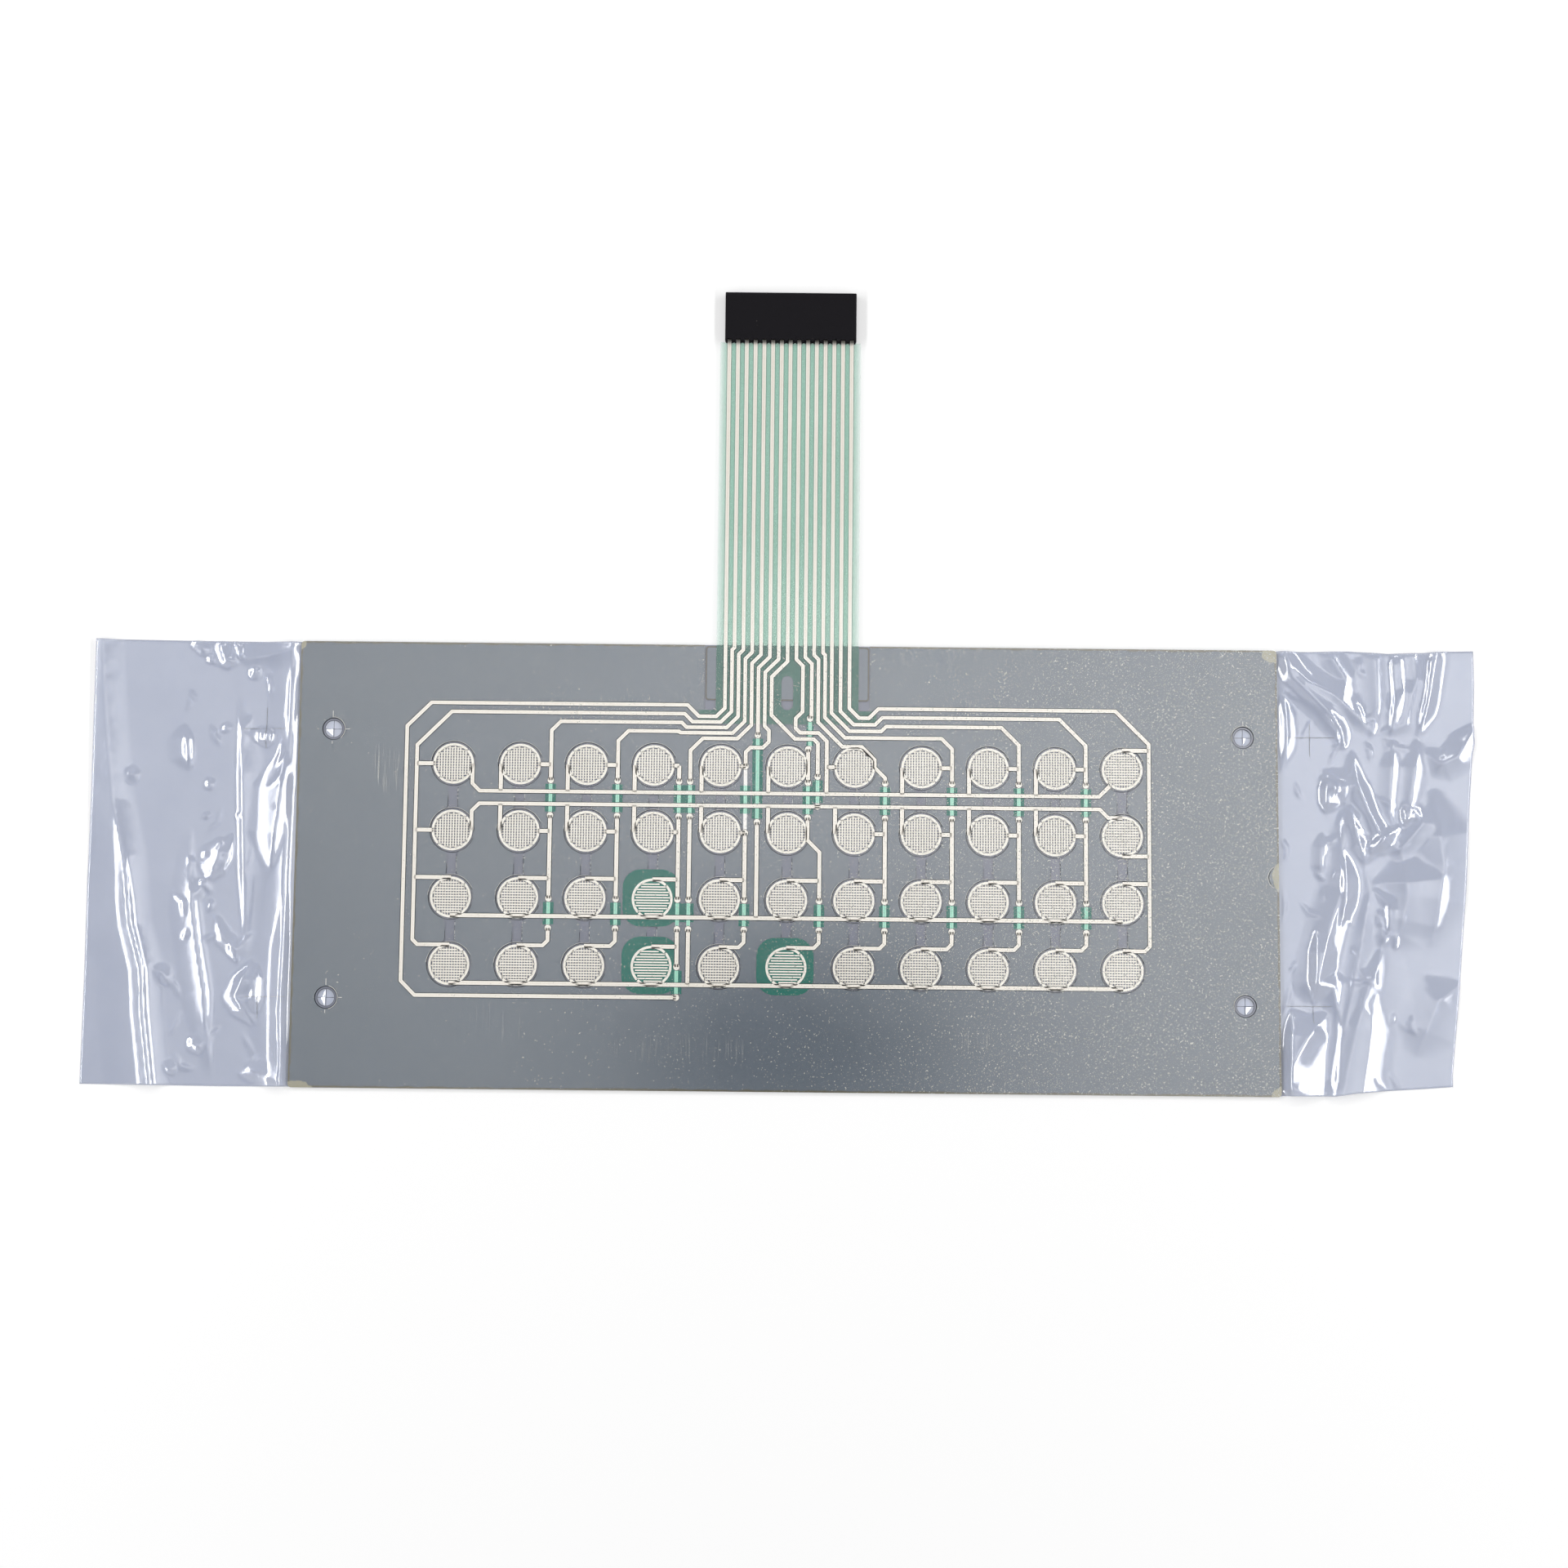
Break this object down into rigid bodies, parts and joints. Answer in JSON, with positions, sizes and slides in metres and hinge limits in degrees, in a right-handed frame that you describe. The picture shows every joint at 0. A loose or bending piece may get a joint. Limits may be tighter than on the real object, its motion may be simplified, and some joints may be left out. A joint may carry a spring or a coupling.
{
  "type": "membrane keypad",
  "caption": "Flat membrane keypad lying on its face, with a printed key matrix seen through clear film, a ribbon tail with a socket housing, and a crumpled protective film.",
  "frame": {"origin": "middle of the key grid, on the surface that the keypad lies on", "axes": "+X along the keypad, +Y towards the tail and its connector, +Z away from the surface"},
  "size_m": [0.3949, 0.2306, 0.0076],
  "materials": {
    "protective_film": "thin blue peel-off film, crumpled and glossy",
    "overlay": "plain polyester front sheet",
    "shorting_film": "polyester film with silver pads",
    "spacer": "grey adhesive sheet",
    "clear_film": "clear glossy polyester",
    "silver_print": "cream silver ink",
    "dielectric_print": "green insulating ink",
    "housing": "black moulded nylon",
    "contact_metal": "tinned bronze"
  },
  "bodies": {
    "root": {"protective_film": "protective_film", "graphic_overlay": "overlay", "shorting_film": "shorting_film", "spacer": "spacer", "tail_exit_pad": "spacer", "circuit_film": "clear_film", "column_net_01": "silver_print", "column_net_02": "silver_print", "column_net_03": "silver_print", "column_net_04": "silver_print", "column_net_05": "silver_print", "column_net_06": "silver_print", "column_net_07": "silver_print", "column_net_08": "silver_print", "column_net_09": "silver_print", "column_net_10": "silver_print", "column_net_11": "silver_print", "row_net_1": "silver_print", "row_net_2": "silver_print", "row_net_3": "silver_print", "row_net_4": "silver_print", "dielectric_rows_1_2_column_02": "dielectric_print", "dielectric_rows_1_2_column_03": "dielectric_print", "dielectric_rows_1_2_column_04": "dielectric_print", "dielectric_rows_1_2_column_05": "dielectric_print", "dielectric_rows_1_2_column_06": "dielectric_print", "dielectric_rows_1_2_column_07": "dielectric_print", "dielectric_rows_1_2_column_08": "dielectric_print", "dielectric_rows_1_2_column_09": "dielectric_print", "dielectric_rows_1_2_column_10": "dielectric_print", "dielectric_row_3_feeder": "dielectric_print", "dielectric_row_3_column_02": "dielectric_print", "dielectric_row_3_column_03": "dielectric_print", "dielectric_row_3_column_04": "dielectric_print", "dielectric_row_3_column_05": "dielectric_print", "dielectric_row_3_column_06": "dielectric_print", "dielectric_row_3_column_07": "dielectric_print", "dielectric_row_3_column_08": "dielectric_print", "dielectric_row_3_column_09": "dielectric_print", "dielectric_row_3_column_10": "dielectric_print", "dielectric_row_4_column_04": "dielectric_print", "dielectric_key_column_06_row_4": "dielectric_print", "dielectric_column_06_feeder": "dielectric_print", "dielectric_tail_coat": "dielectric_print", "connector_housing": "housing", "contact_01": "contact_metal", "contact_02": "contact_metal", "contact_03": "contact_metal", "contact_04": "contact_metal", "contact_05": "contact_metal", "contact_06": "contact_metal", "contact_07": "contact_metal", "contact_08": "contact_metal", "contact_09": "contact_metal", "contact_10": "contact_metal", "contact_11": "contact_metal", "contact_12": "contact_metal", "contact_13": "contact_metal", "contact_14": "contact_metal", "contact_15": "contact_metal"}
  },
  "joints": []
}
